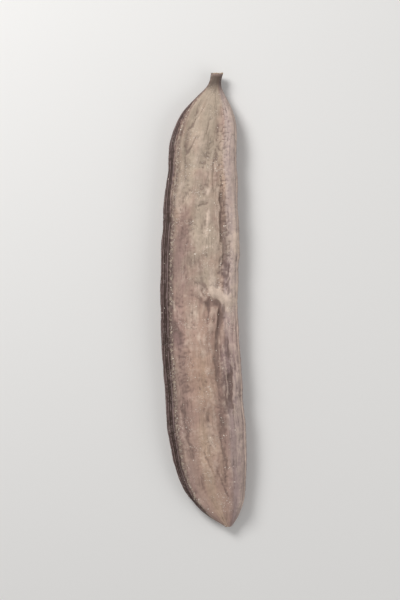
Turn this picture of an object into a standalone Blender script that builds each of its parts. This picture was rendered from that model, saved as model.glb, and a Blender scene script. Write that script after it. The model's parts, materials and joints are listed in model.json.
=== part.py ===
"""Carob pod: one ripe, dried pod of the carob tree, lying on its broad side.

The pod grew as one piece, so it is one solid: a long flat blade with a thick rim along each seam, a furrow
inside each rim, low swellings over the seeds, a few dried-in folds, the short broken stalk at one end and a
small beak at the other. The stalk end is at +Y, the beak at -Y, and the pod rests on the plane Z = 0.
"""

import math

import bmesh
import bpy
from mathutils import Matrix, Vector, noise

MM = 0.001

# Size of the whole pod
POD_LENGTH = 180 * MM
POD_WIDTH = 31 * MM
POD_THICKNESS = 8.4 * MM

# How the dried pod is bent: its middle stands to -X, is arched up off the table, and its ends are turned
BOW = 6.0 * MM
ARCH = 1.8 * MM
TWIST = math.radians(8)

# Outline from the stalk to the beak. Each row is the share of the length, the left and the right edge in
# half widths from the axis, and the share of the full thickness.
OUTLINE = (
    (0.000, -0.10, 0.22, 0.50),
    (0.018, -0.10, 0.19, 0.44),
    (0.034, -0.18, 0.23, 0.52),
    (0.055, -0.42, 0.38, 0.66),
    (0.088, -0.72, 0.58, 0.80),
    (0.135, -0.90, 0.73, 0.92),
    (0.220, -0.96, 0.81, 0.98),
    (0.330, -1.01, 0.95, 1.00),
    (0.520, -1.00, 0.97, 1.00),
    (0.680, -0.97, 1.01, 1.00),
    (0.820, -0.90, 1.02, 0.94),
    (0.905, -0.70, 0.90, 0.84),
    (0.952, -0.42, 0.78, 0.68),
    (0.979, -0.10, 0.62, 0.50),
    (0.993, 0.18, 0.49, 0.34),
    (1.000, 0.27, 0.43, 0.24),
)
# Slow waves of the edges, each a height and a length, and of the thickness. They fade out by the two ends.
EDGE_WAVES = ((0.40 * MM, 15 * MM), (0.55 * MM, 41 * MM))
THICKNESS_WAVE = 0.07
THICKNESS_WAVE_LENGTH = 33 * MM
WAVES_START = (0.06, 0.16)
WAVES_END = (0.02, 0.10)

# How far a section is squared off, from 0 for a round one: none on the stalk, all of it on the full width
EDGE_BLUNTNESS = 0.90
FACE_FLATNESS = 0.80
BLADE_STARTS = 0.28
BLADE_FULL = 0.72

# Where a broad side begins at the rounded edge, and where its relief is whole: sines of the section's angle
FACE_STARTS = 0.05
FACE_FULL = 0.35

# Rims along the seams, on both broad sides: place across in half widths, height, spread across
RIMS = ((-0.74, 0.55 * MM, 0.15), (0.79, 0.95 * MM, 0.17))

# Furrows inside the rims: share of the length, place across in half widths, depth
TOP_LEFT_FURROW = (
    (0.00, -0.30, 0.30 * MM),
    (0.12, -0.44, 0.70 * MM),
    (0.30, -0.50, 0.45 * MM),
    (0.50, -0.52, 0.25 * MM),
    (0.62, -0.50, 0.65 * MM),
    (0.80, -0.46, 0.75 * MM),
    (1.00, -0.10, 0.30 * MM),
)
TOP_RIGHT_FURROW = (
    (0.00, 0.25, 0.40 * MM),
    (0.12, 0.42, 1.00 * MM),
    (0.28, 0.54, 1.45 * MM),
    (0.43, 0.58, 1.70 * MM),
    (0.49, 0.56, 0.50 * MM),
    (0.54, 0.48, 1.20 * MM),
    (0.64, 0.41, 1.45 * MM),
    (0.80, 0.42, 1.10 * MM),
    (1.00, 0.38, 0.30 * MM),
)
UNDER_LEFT_FURROW = (
    (0.00, -0.25, 0.30 * MM),
    (0.20, -0.46, 1.20 * MM),
    (0.55, -0.53, 0.90 * MM),
    (0.80, -0.45, 1.25 * MM),
    (1.00, -0.10, 0.30 * MM),
)
UNDER_RIGHT_FURROW = (
    (0.00, 0.25, 0.30 * MM),
    (0.25, 0.46, 0.95 * MM),
    (0.55, 0.52, 1.35 * MM),
    (0.85, 0.45, 1.00 * MM),
    (1.00, 0.38, 0.30 * MM),
)
FURROW_SPREAD = 0.115

# Lines along the seams: angle round the section in degrees, rise (a groove is below zero), spread in
# degrees. The right seam is at 0 and the left one at 180.
SEAM_LINES = (
    (0.0, -0.80 * MM, 6.0),
    (13.0, 0.35 * MM, 5.0),
    (-26.0, -0.40 * MM, 5.0),
    (180.0, -0.80 * MM, 6.0),
    (162.0, -0.45 * MM, 4.5),
    (135.0, -0.70 * MM, 4.5),
    (214.0, -0.50 * MM, 5.0),
)

# Swellings over the seeds, in one row down the middle of the pod
SEED_COUNT = 11
FIRST_SEED = 0.155
LAST_SEED = 0.865
SEED_RISE = 0.65 * MM
SEED_HALF_LENGTH = 4.4 * MM
SEED_HALF_WIDTH = 5.2 * MM
SEED_SCATTER = 0.12
SEED_UNEVENNESS = 0.45

# Dried-in folds and hollows: share of the length, place across in half widths, direction in degrees from +X,
# half length, rise (a hollow is below zero), spread to each side
TOP_FOLDS = (
    (0.485, 0.32, -22, 6.0 * MM, 1.50 * MM, 1.7 * MM),
    (0.514, 0.12, 82, 2.6 * MM, -0.85 * MM, 1.7 * MM),
    (0.538, 0.28, 86, 4.6 * MM, 0.45 * MM, 1.4 * MM),
    (0.520, 0.50, 88, 3.0 * MM, -0.55 * MM, 1.9 * MM),
    (0.524, -0.62, -70, 5.0 * MM, 0.50 * MM, 1.2 * MM),
    (0.572, -0.52, -62, 3.6 * MM, -0.55 * MM, 1.8 * MM),
    (0.607, 0.66, 90, 4.6 * MM, -0.65 * MM, 1.1 * MM),
    (0.690, 0.72, 86, 7.5 * MM, -0.85 * MM, 1.3 * MM),
    (0.650, 0.84, 92, 9.0 * MM, 0.35 * MM, 1.0 * MM),
    (0.785, 0.16, 95, 6.0 * MM, -0.55 * MM, 1.9 * MM),
    (0.283, 0.06, 12, 2.4 * MM, 0.40 * MM, 1.2 * MM),
    (0.322, 0.20, 88, 4.0 * MM, 0.40 * MM, 1.2 * MM),
    (0.345, -0.34, 78, 7.0 * MM, -0.45 * MM, 2.2 * MM),
    (0.180, 0.05, 74, 5.0 * MM, -0.60 * MM, 1.9 * MM),
    (0.130, -0.22, 118, 5.0 * MM, 0.45 * MM, 1.4 * MM),
    (0.880, 0.10, 70, 5.0 * MM, 0.50 * MM, 1.4 * MM),
)
UNDER_FOLDS = (
    (0.330, 0.10, 35, 6.0 * MM, 0.75 * MM, 1.7 * MM),
    (0.360, 0.22, 84, 5.0 * MM, -0.90 * MM, 1.8 * MM),
    (0.520, -0.22, 80, 9.0 * MM, -0.90 * MM, 2.4 * MM),
    (0.645, 0.16, -35, 5.0 * MM, 0.75 * MM, 1.6 * MM),
    (0.770, -0.10, 94, 8.0 * MM, -0.65 * MM, 1.9 * MM),
    (0.200, -0.70, 96, 9.0 * MM, -0.55 * MM, 1.2 * MM),
    (0.700, 0.72, 88, 10.0 * MM, -0.60 * MM, 1.2 * MM),
)

# Long wrinkles of the dried skin, and short puckers across them
WRINKLE_HEIGHT = 0.42 * MM
WRINKLE_LENGTH = 26 * MM
WRINKLES_AROUND = 4.5
PUCKER_HEIGHT = 0.30 * MM
PUCKER_LENGTH = 8 * MM
PUCKERS_AROUND = 3.0

# Which stretch of the same irregular wave each form takes
LEFT_EDGE, RIGHT_EDGE, THICKNESS, TOP_SEEDS, UNDER_SEEDS = 1, 5, 9, 31, 37
PUCKER_OFFSET = Vector((9, 4, 0))

# How deep the low points that carry the pod are pressed flat
PRESSED_FLAT = 0.35 * MM

# Mesh: faces round the pod, rings along it, and how many rings at each end close the end off
AROUND = 64
RINGS = 84
CAP_RINGS = 2
END_CROWDING = 0.2
FACE_CROWDING = 0.15
NORMAL_STEP = 0.01

SKIN_COLOUR = (0.36, 0.265, 0.225, 1.0)
SKIN_ROUGHNESS = 0.62


def clear_scene():
    for obj in list(bpy.data.objects):
        bpy.data.objects.remove(obj, do_unlink=True)


def bump(value, centre, spread):
    """A smooth hump, 1 at its centre."""
    return math.exp(-(((value - centre) / spread) ** 2))


def ramp(value, low, high):
    """0 below low, 1 above high, smooth between."""
    t = max(0.0, min(1.0, (value - low) / (high - low)))
    return t * t * (3 - 2 * t)


def wave(place, length, stretch):
    """A smooth irregular wave between about -1 and 1 along the pod."""
    return 1.6 * noise.noise(Vector((place / length, 7.3 * stretch, 2.1 * stretch)))


def read_rows(rows, share, column):
    """That column at a share of the length, on a smooth curve through the rows."""
    last = len(rows) - 1
    i = min(last - 1, sum(row[0] <= share for row in rows) - 1)
    before, start, end, after = (rows[max(0, min(last, k))] for k in range(i - 1, i + 3))
    gap = end[0] - start[0]
    slope_in = (end[column] - before[column]) / (end[0] - before[0]) * gap
    slope_out = (after[column] - start[column]) / (after[0] - start[0]) * gap
    t = (share - start[0]) / gap
    return (
        start[column] * (2 * t**3 - 3 * t**2 + 1)
        + slope_in * (t**3 - 2 * t**2 + t)
        + end[column] * (3 * t**2 - 2 * t**3)
        + slope_out * (t**3 - t**2)
    )


def section_size(share):
    """Middle of the section from the axis, its half width and its half thickness."""
    along = share * POD_LENGTH
    left = read_rows(OUTLINE, share, 1) * POD_WIDTH / 2
    right = read_rows(OUTLINE, share, 2) * POD_WIDTH / 2
    loose = ramp(share, *WAVES_START) * ramp(1 - share, *WAVES_END)
    for number, (height, length) in enumerate(EDGE_WAVES):
        left += loose * height * wave(along, length, LEFT_EDGE + number)
        right += loose * height * wave(along, length, RIGHT_EDGE + number)
    swell = 1 + loose * THICKNESS_WAVE * wave(along, THICKNESS_WAVE_LENGTH, THICKNESS)
    half_thickness = read_rows(OUTLINE, share, 3) * swell * POD_THICKNESS / 2
    return (left + right) / 2, (right - left) / 2, half_thickness


def squared(value, amount):
    """Sine or cosine of a section's angle, pushed out towards the corners of a blunt section."""
    return value * (1 + amount / 2 * (1 - value * value))


def plain_section(half_width, half_thickness, blade, angle):
    """Point of the smooth section at an angle: place across, height, and place across in half widths."""
    across = squared(math.cos(angle), blade * EDGE_BLUNTNESS)
    up = squared(math.sin(angle), blade * FACE_FLATNESS)
    return half_width * across, half_thickness * up, across


def furrows(share, across, paths):
    height = 0.0
    for rows in paths:
        height -= read_rows(rows, share, 2) * bump(across, read_rows(rows, share, 1), FURROW_SPREAD)
    return height


def seeds(along, x, side):
    """Swelling over the row of seeds inside, on one broad side."""
    pitch = (LAST_SEED - FIRST_SEED) / (SEED_COUNT - 1)
    height = 0.0
    for number in range(SEED_COUNT):
        middle = (FIRST_SEED + number * pitch) * POD_LENGTH
        aside = SEED_SCATTER * POD_WIDTH / 2 * wave(middle, SEED_HALF_LENGTH, side)
        strength = 1 + SEED_UNEVENNESS * wave(middle, SEED_HALF_LENGTH, side + 2)
        height += strength * bump(along, middle, SEED_HALF_LENGTH) * bump(x, aside, SEED_HALF_WIDTH)
    return SEED_RISE * height


def folds(along, x, rows):
    """Ridges and hollows that dried into the skin. Each is a straight stroke with soft sides."""
    height = 0.0
    for share, across, degrees, half_length, rise, spread in rows:
        direction = Vector((math.cos(math.radians(degrees)), math.sin(math.radians(degrees))))
        offset = Vector((x - across * POD_WIDTH / 2, share * POD_LENGTH - along))
        beyond = max(0.0, abs(offset.dot(direction)) - half_length)
        aside = offset.dot(Vector((-direction.y, direction.x)))
        height += rise * bump(math.hypot(beyond, aside), 0.0, spread)
    return height


def wrinkles(along, angle):
    around = Vector((math.cos(angle), math.sin(angle), 0))
    long_wrinkle = noise.noise(around * WRINKLES_AROUND + Vector((0, 0, along / WRINKLE_LENGTH)))
    pucker = noise.noise(around * PUCKERS_AROUND + PUCKER_OFFSET + Vector((0, 0, along / PUCKER_LENGTH)))
    return WRINKLE_HEIGHT * long_wrinkle + PUCKER_HEIGHT * pucker


def seam_lines(angle):
    height = 0.0
    for place, rise, spread in SEAM_LINES:
        turned = (math.degrees(angle) - place + 180) % 360 - 180
        height += rise * bump(turned, 0.0, spread)
    return height


def relief(share, x, across, angle):
    """How far the skin stands out from the smooth section."""
    along = share * POD_LENGTH
    on_top = math.sin(angle) > 0
    face = ramp(abs(math.sin(angle)), FACE_STARTS, FACE_FULL)
    height = sum(rise * bump(across, place, spread) for place, rise, spread in RIMS)
    if on_top:
        height += furrows(share, across, (TOP_LEFT_FURROW, TOP_RIGHT_FURROW))
        height += seeds(along, x, TOP_SEEDS) + folds(along, x, TOP_FOLDS)
    else:
        height += furrows(share, across, (UNDER_LEFT_FURROW, UNDER_RIGHT_FURROW))
        height += seeds(along, x, UNDER_SEEDS) + folds(along, x, UNDER_FOLDS)
    return face * height + seam_lines(angle) + wrinkles(along, angle)


def skin_point(share, angle, closing):
    """Point of the pod's skin at a share of the length and an angle round the section.

    Closing shrinks the section towards its middle, to close the pod's two ends.
    """
    middle, half_width, half_thickness = section_size(share)
    blade = ramp(half_width / (POD_WIDTH / 2), BLADE_STARTS, BLADE_FULL)
    x, z, across = plain_section(half_width, half_thickness, blade, angle)
    x_next, z_next, _ = plain_section(half_width, half_thickness, blade, angle + NORMAL_STEP)
    x_last, z_last, _ = plain_section(half_width, half_thickness, blade, angle - NORMAL_STEP)
    outwards = Vector((z_next - z_last, x_last - x_next)).normalized()
    raised = blade * relief(share, middle + x, across, angle)
    x = middle + (x + outwards.x * raised) * closing
    z = (z + outwards.y * raised) * closing
    turn = TWIST * (share - 0.5)
    bend = 1 - (2 * share - 1) ** 2
    return Vector(
        (
            x * math.cos(turn) - z * math.sin(turn) - BOW * bend,
            POD_LENGTH * (0.5 - share),
            x * math.sin(turn) + z * math.cos(turn) + ARCH * bend,
        )
    )


def ring_place(sphere_point):
    """Share of the length, angle and closing for a point of the unit sphere that the pod is made from."""
    ring = math.acos(max(-1.0, min(1.0, sphere_point.z))) / math.pi * RINGS
    share = max(0.0, min(1.0, (ring - CAP_RINGS) / (RINGS - 2 * CAP_RINGS)))
    crowded = (1 - math.cos(math.pi * share)) / 2
    share += END_CROWDING * (crowded - share)
    from_end = min(ring, RINGS - ring) / CAP_RINGS
    angle = math.atan2(sphere_point.y, -sphere_point.x)
    angle += FACE_CROWDING * math.sin(2 * angle)
    return share, angle, math.sin(min(1.0, from_end) * math.pi / 2)


def weight_centre(bm):
    """Centre of the solid's volume."""
    volume, moment = 0.0, Vector()
    for a, b, c in ([loop.vert.co for loop in loops] for loops in bm.calc_loop_triangles()):
        share = a.dot(b.cross(c)) / 6
        volume += share
        moment += share * (a + b + c) / 4
    return moment / volume


def carrying_face(bm):
    """Normal of the face of the pod's convex hull that lies under its weight."""
    below = weight_centre(bm).xy
    hull = bmesh.new()
    for vert in bm.verts:
        hull.verts.new(vert.co)
    bmesh.ops.convex_hull(hull, input=hull.verts)
    bmesh.ops.triangulate(hull, faces=hull.faces)
    found = None
    for face in hull.faces:
        a, b, c = (vert.co.xy for vert in face.verts)
        sides = {(q - p).cross(below - p) > 0 for p, q in ((a, b), (b, c), (c, a))}
        if face.normal.z < 0 and len(sides) == 1:
            found = face.normal.copy()
    hull.free()
    return found


def settle(bm):
    """Lays the pod on the three points under its weight, presses them flat and centres it on the origin."""
    for _ in range(3):
        turn = carrying_face(bm).rotation_difference(Vector((0, 0, -1)))
        bmesh.ops.transform(bm, matrix=turn.to_matrix().to_4x4(), verts=bm.verts)
    floor = min(vert.co.z for vert in bm.verts) + PRESSED_FLAT
    for vert in bm.verts:
        vert.co.z = max(vert.co.z, floor)
    lows = [min(vert.co[axis] for vert in bm.verts) for axis in range(2)]
    highs = [max(vert.co[axis] for vert in bm.verts) for axis in range(2)]
    to_origin = Vector((-(lows[0] + highs[0]) / 2, -(lows[1] + highs[1]) / 2, -floor))
    bmesh.ops.transform(bm, matrix=Matrix.Translation(to_origin), verts=bm.verts)


def make_skin_material():
    material = bpy.data.materials.new("carob_skin")
    material.use_nodes = True
    shader = material.node_tree.nodes["Principled BSDF"]
    shader.inputs["Base Color"].default_value = SKIN_COLOUR
    shader.inputs["Roughness"].default_value = SKIN_ROUGHNESS
    shader.inputs["Metallic"].default_value = 0.0
    return material


def make_pod(collection):
    bm = bmesh.new()
    bmesh.ops.create_uvsphere(bm, u_segments=AROUND, v_segments=RINGS, radius=1.0)
    for vert in bm.verts:
        vert.co = skin_point(*ring_place(vert.co))
    settle(bm)
    mesh = bpy.data.meshes.new("pod")
    bm.to_mesh(mesh)
    bm.free()
    mesh.shade_smooth()
    mesh.materials.append(make_skin_material())
    collection.objects.link(bpy.data.objects.new("pod", mesh))


def main():
    clear_scene()
    collection = bpy.data.collections.new("carob_pod")
    bpy.context.scene.collection.children.link(collection)
    make_pod(collection)


main()
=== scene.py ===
"""The looks of one dried carob pod: a wrinkled skin grown over the pod's solid, the crumbs that cling to it,
the torn fibres of its stalk, and a pale table with soft light and a camera straight above."""

import json
import math
import random

import bpy
import numpy as np
from bpy.props import FloatProperty, FloatVectorProperty, IntProperty, PointerProperty
from mathutils import Matrix, Vector, noise

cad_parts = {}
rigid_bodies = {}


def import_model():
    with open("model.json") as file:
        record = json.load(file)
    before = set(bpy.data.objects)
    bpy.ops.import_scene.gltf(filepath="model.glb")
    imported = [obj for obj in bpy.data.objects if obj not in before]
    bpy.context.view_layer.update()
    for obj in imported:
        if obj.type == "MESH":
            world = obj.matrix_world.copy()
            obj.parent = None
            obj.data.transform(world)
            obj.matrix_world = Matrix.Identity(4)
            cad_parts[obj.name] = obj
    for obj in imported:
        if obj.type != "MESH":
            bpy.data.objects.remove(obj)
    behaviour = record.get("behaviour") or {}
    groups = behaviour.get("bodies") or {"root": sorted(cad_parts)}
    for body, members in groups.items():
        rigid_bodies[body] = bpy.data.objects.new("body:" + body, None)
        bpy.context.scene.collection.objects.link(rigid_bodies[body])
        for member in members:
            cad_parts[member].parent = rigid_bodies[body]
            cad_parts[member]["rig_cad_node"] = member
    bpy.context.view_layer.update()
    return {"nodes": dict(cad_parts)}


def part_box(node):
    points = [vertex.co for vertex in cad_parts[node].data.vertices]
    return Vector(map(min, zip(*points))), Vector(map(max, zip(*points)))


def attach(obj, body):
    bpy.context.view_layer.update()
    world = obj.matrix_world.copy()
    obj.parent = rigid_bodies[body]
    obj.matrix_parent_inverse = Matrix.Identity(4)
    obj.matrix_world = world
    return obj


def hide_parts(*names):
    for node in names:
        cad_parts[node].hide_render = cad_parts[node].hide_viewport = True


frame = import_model()
SOLID = frame["nodes"]["pod"]
LOW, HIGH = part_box("pod")

bl_info = {
    "name": "Carob Pod",
    "version": (1, 0, 0),
    "blender": (4, 5, 0),
    "location": "3D View > Sidebar > Carob Pod",
    "description": "Dresses a dried carob pod: its skin, crumbs, torn stalk, table and light",
    "category": "Object",
}

MM = 0.001
POD = "carob_pod"
GRAIN_GROUP = "Dry grain"
CRUMB_MATERIAL = "Dry crumb"
POD_LENGTH = HIGH.y - LOW.y
MIDDLE = (LOW + HIGH) / 2

# Half the width and half the thickness of the pod where it is full grown
HALF_WIDTH = 15.5 * MM
HALF_THICKNESS = 4.6 * MM

# Sizes of the irregular waves that shape and mark the skin: across the pod, along it and up
WRINKLE_WAVES = (1.8 * MM, 18 * MM, 1.8 * MM)
DENT_WAVES = (5 * MM, 7 * MM, 5 * MM)
PUCKER_WAVES = (3.0 * MM, 1.6 * MM, 3.0 * MM)
CREASE_PATCHES = (7 * MM, 12 * MM, 7 * MM)
STROKE_WAVES = (2.2 * MM, 4.5 * MM, 50 * MM)
MARK_WAVES = (1.4 * MM, 3.2 * MM, 1.4 * MM)
EDGE_WAVES = (0.9 * MM, 1.6 * MM, 0.9 * MM)

# Sizes across the pod of the waves that make the two kinds of fine creases, which are eight times as long
CREASE_WIDTHS = (3.0 * MM, 4.6 * MM)

# Where the beaded fringe runs across the pod and how wide it spreads, in half widths
FRINGE_PLACE = -0.725
FRINGE_SPREAD = 0.050

# How far left of the middle the left flank's own dark colour and painted shade start, and where they are
# full, in half widths
FLANK_STARTS = 0.695
FLANK_FULL = 0.805

# How many rounds of smoothing bring out fine ridges and broad hollows, and how far a full one stands out
FINE_RIDGES = (12, 0.12 * MM)
BROAD_HOLLOWS = (160, 0.60 * MM)

# Fibres in each metre of the skin and of dry pulp: across, along and up
SKIN_FIBRES = (2600.0, 110.0, 2600.0)
PULP_FIBRES = (900.0, 900.0, 900.0)

# How far the torn end of the stalk reaches, its outermost layer, how rough it is, and the depth and spread
# of its hollow middle
BREAK_DEPTH = 0.7 * MM
BREAK_EDGE = 0.1 * MM
BREAK_ROUGHNESS = 0.28 * MM
BREAK_HOLLOW = 0.6 * MM
BREAK_HOLLOW_SPREAD = 1.1 * MM

# Torn fibres: the stretch of the stalk that they stand in, least and most length and thickness in
# millimetres, and least and most lean outwards for each metre from the stalk's middle
FIBRE_STRETCH = 0.9 * MM
FIBRE_LENGTH = (0.5, 1.2)
FIBRE_THICKNESS = (0.14, 0.26)
FIBRE_LEAN = (20, 160)

# Seeds of the random draws
FIBRE_SEED = 12
CRUMB_SEED = 41

# The table, the lights' places from the pod's middle and their widths, and how far the camera stands to the
# side of that middle
TABLE_WIDTH = 4.0
TABLE_GAP = 0.02 * MM
KEY_PLACE = (-0.33, 0.40, 0.45)
KEY_WIDTH = 0.28
FILL_PLACE = (0.45, -0.15, 0.40)
FILL_WIDTH = 0.50
CAMERA_ASIDE = -1.4 * MM

# How strongly a dry, dusty surface reflects, where 0.5 is a usual one
MATT = 0.25

# Lines pressed round the seams: angle round the section in degrees (0 is the right seam, 180 the left one),
# rise in millimetres (a groove is below zero), spread in degrees
SEAM_LINES = (
    (172.0, -0.18, 2.4),
    (190.0, -0.16, 2.6),
    (203.0, -0.20, 2.8),
    (212.0, 0.14, 2.6),
    (228.0, -0.18, 3.0),
    (6.0, 0.14, 2.4),
    (-9.0, -0.18, 2.6),
    (-17.0, 0.14, 2.4),
    (-38.0, -0.20, 3.0),
    (-47.0, 0.12, 3.0),
)

# Lines along the two rims of the upper side and in the furrows inside them: place across in half widths,
# rise in millimetres, spread in half widths
RIM_LINES = (
    (-0.965, 0.12, 0.010),
    (-0.945, -0.20, 0.012),
    (-0.920, 0.14, 0.011),
    (-0.893, -0.24, 0.013),
    (-0.868, 0.10, 0.011),
    (-0.848, -0.16, 0.010),
    (-0.822, 0.20, 0.013),
    (-0.782, -0.40, 0.018),
    (-0.655, -0.08, 0.018),
    (0.660, -0.16, 0.060),
    (0.885, 0.30, 0.060),
    (0.630, -0.12, 0.020),
    (0.715, -0.10, 0.018),
    (0.800, 0.08, 0.020),
    (0.870, -0.06, 0.016),
    (0.930, -0.08, 0.014),
    (0.962, 0.16, 0.014),
)

# Creases and small ridges, from the stalk to the beak: share of the length, place across in half widths,
# direction in degrees from +X, then half length, rise (a crease is below zero) and spread in millimetres
CREASES = (
    (0.100, -0.30, 62, 6.0, -0.30, 0.45),
    (0.120, 0.10, 75, 6.0, -0.28, 0.45),
    (0.160, -0.30, 60, 5.0, -0.30, 0.55),
    (0.200, 0.35, 80, 6.0, -0.30, 0.50),
    (0.255, 0.55, 92, 6.0, -0.25, 0.45),
    (0.262, 0.20, 75, 2.0, 0.25, 0.60),
    (0.270, -0.52, 90, 14.0, 0.35, 1.80),
    (0.283, 0.02, 14, 2.0, 0.30, 0.45),
    (0.291, 0.05, 20, 2.4, -0.32, 0.45),
    (0.300, 0.475, 90, 22.0, 0.55, 1.50),
    (0.300, 0.52, 89, 7.0, -0.28, 0.50),
    (0.320, 0.19, 89, 3.0, 0.32, 0.45),
    (0.320, 0.53, 90, 8.0, -0.25, 0.45),
    (0.345, 0.65, 89, 7.0, 0.20, 0.45),
    (0.350, -0.30, 86, 6.0, -0.20, 0.60),
    (0.350, 0.70, 90, 16.0, -0.25, 1.40),
    (0.370, 0.50, 84, 4.0, -0.25, 0.45),
    (0.385, 0.60, 91, 7.0, -0.25, 0.45),
    (0.405, 0.60, 97, 4.5, -0.30, 0.50),
    (0.420, 0.50, 60, 2.6, 0.25, 0.45),
    (0.430, -0.36, 97, 7.0, -0.18, 0.55),
    (0.434, 0.70, 82, 3.0, -0.35, 1.40),
    (0.440, 0.72, 80, 3.5, -0.25, 0.45),
    (0.452, 0.59, 88, 6.0, 0.55, 1.50),
    (0.468, 0.785, 88, 3.0, -0.50, 0.70),
    (0.488, 0.08, -44, 4.0, 0.35, 0.80),
    (0.491, 0.50, -38, 5.0, 0.40, 1.60),
    (0.513, 0.11, 86, 3.6, 0.50, 1.00),
    (0.515, -0.64, -70, 5.0, 0.30, 0.50),
    (0.524, 0.56, 89, 5.0, 0.20, 0.40),
    (0.527, 0.235, 87, 5.6, -0.50, 0.65),
    (0.530, 0.50, 87, 5.0, -0.22, 0.40),
    (0.532, 0.45, 85, 4.0, 0.35, 1.10),
    (0.535, -0.56, -66, 4.0, -0.30, 0.55),
    (0.538, 0.560, 84, 4.4, -0.25, 0.80),
    (0.541, 0.405, 88, 5.0, 0.80, 1.35),
    (0.580, 0.30, 91, 9.0, 0.50, 1.40),
    (0.580, 0.60, 90, 9.0, -0.30, 1.30),
    (0.582, 0.49, 91, 9.0, -0.35, 0.90),
    (0.590, 0.40, 92, 7.0, -0.25, 0.45),
    (0.610, 0.47, 90, 8.0, 0.20, 0.45),
    (0.610, 0.68, 91, 4.2, -0.45, 0.42),
    (0.625, 0.77, 89, 6.0, 0.25, 0.50),
    (0.632, 0.76, 90, 6.0, -0.35, 0.80),
    (0.640, 0.34, 93, 7.0, -0.25, 0.60),
    (0.640, 0.90, 90, 8.0, 0.30, 0.80),
    (0.672, 0.83, 90, 8.0, -0.28, 0.42),
    (0.690, 0.66, 90, 6.0, -0.25, 0.40),
    (0.698, 0.69, 89, 8.0, -0.50, 1.00),
    (0.702, 0.55, 90, 9.0, -0.50, 1.30),
    (0.705, 0.56, 92, 5.0, -0.35, 0.50),
    (0.706, 0.73, 88, 6.0, 0.22, 0.40),
    (0.740, 0.05, 70, 3.0, 0.25, 0.50),
    (0.780, -0.50, 95, 8.0, -0.30, 0.50),
    (0.830, 0.40, 98, 8.0, -0.32, 0.50),
    (0.860, 0.00, 110, 5.0, -0.28, 0.50),
    (0.905, 0.30, 108, 6.0, -0.30, 0.45),
)

# Pale and dark marks of the upper side, in the same columns, with the strength of the mark (a dark one is
# below zero) in place of the rise. Most pale ones are painted highlight on ridges and rims, most dark ones
# painted shade in hollows and furrows, and a few are pale and pink patches of the skin
MARKS_AND_PAINTED_LIGHT = (
    (0.180, -0.10, 80, 5.0, 0.4, 2.40),
    (0.263, 0.15, 60, 1.4, 0.7, 1.30),
    (0.272, -0.56, 90, 7.0, 0.55, 2.80),
    (0.285, 0.05, 16, 2.0, -0.6, 0.45),
    (0.300, 0.47, 90, 12.0, 0.65, 0.80),
    (0.318, 0.20, 88, 3.0, 0.6, 0.50),
    (0.330, 0.54, 92, 16.0, -0.25, 0.70),
    (0.340, 0.16, 84, 6.0, 0.4, 1.60),
    (0.350, 0.66, 90, 14.0, -0.5, 1.60),
    (0.374, 0.91, 90, 4.0, 0.9, 1.20),
    (0.385, 0.18, 0, 2.6, 0.5, 0.90),
    (0.395, 0.55, 90, 4.0, 0.80, 0.90),
    (0.400, -0.24, 90, 6.0, -0.4, 2.20),
    (0.420, -0.16, 0, 3.4, -0.5, 2.00),
    (0.434, 0.68, 80, 3.0, -0.8, 1.50),
    (0.454, 0.06, 90, 5.0, -0.9, 2.20),
    (0.458, 0.30, -76, 6.0, 0.6, 2.60),
    (0.466, 0.73, 88, 2.8, -0.9, 0.90),
    (0.474, 0.175, -60, 1.9, -1.0, 1.10),
    (0.483, 0.92, 90, 3.0, 0.4, 1.00),
    (0.484, 0.37, -20, 2.6, 0.9, 1.40),
    (0.487, -0.04, -40, 2.2, 0.4, 1.00),
    (0.488, 0.09, -44, 3.6, 0.6, 0.80),
    (0.490, 0.52, -42, 6.0, 0.8, 2.10),
    (0.502, 0.78, -15, 4.5, 0.4, 2.20),
    (0.507, 0.18, 20, 1.8, -0.3, 0.90),
    (0.508, 0.32, -6, 3.8, -0.9, 1.20),
    (0.512, 0.65, -50, 3.6, 0.6, 1.20),
    (0.515, -0.64, -68, 5.0, 0.9, 0.80),
    (0.524, 0.55, 86, 5.0, -0.4, 0.80),
    (0.528, -0.16, 90, 4.0, 0.8, 2.20),
    (0.532, 0.36, 88, 4.0, 0.4, 0.90),
    (0.534, 0.24, 87, 5.0, -0.7, 0.60),
    (0.568, -0.60, -66, 5.0, -0.6, 2.20),
    (0.580, -0.24, 80, 5.0, 0.5, 2.80),
    (0.580, -0.13, 90, 3.0, -0.3, 1.40),
    (0.583, -0.78, 90, 4.0, -0.4, 1.60),
    (0.590, 0.45, 94, 9.0, -0.5, 1.00),
    (0.600, 0.00, 90, 6.0, 0.4, 3.00),
    (0.605, 0.69, 91, 4.5, -0.8, 0.50),
    (0.632, 0.77, 90, 6.0, -0.6, 0.90),
    (0.698, 0.70, 89, 8.0, -1.0, 0.90),
    (0.704, 0.57, 91, 8.0, -0.9, 1.40),
    (0.706, 0.61, 90, 7.0, -1.2, 2.30),
    (0.800, 0.10, 96, 6.0, 0.4, 2.40),
)

# Patches of purple painted shade in the right furrow and under the ridge of the left shoulder, in the same
# columns, with their strength in place of the rise
PURPLE_AND_SHADE_PATCHES = (
    (0.430, 0.67, 84, 3.0, 1.0, 1.50),
    (0.464, 0.71, 88, 2.8, 0.9, 0.80),
    (0.575, -0.62, -66, 6.0, 0.6, 2.20),
    (0.650, 0.60, 90, 9.0, 0.5, 2.20),
)

# Where crumbs lie thickest, in the same columns, with how thick they lie in place of the rise
CRUMB_CLUSTERS = (
    (0.330, -0.14, 0, 1.4, 4.0, 0.70),
    (0.348, 0.19, 88, 1.2, 7.0, 0.60),
    (0.350, 0.62, 88, 2.4, 3.0, 1.00),
    (0.375, -0.62, 88, 6.0, 2.0, 0.60),
    (0.386, 0.20, 0, 2.4, 5.0, 0.80),
    (0.488, 0.22, -30, 2.6, 7.0, 0.70),
    (0.537, 0.30, 88, 1.8, 4.0, 0.70),
)


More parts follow.
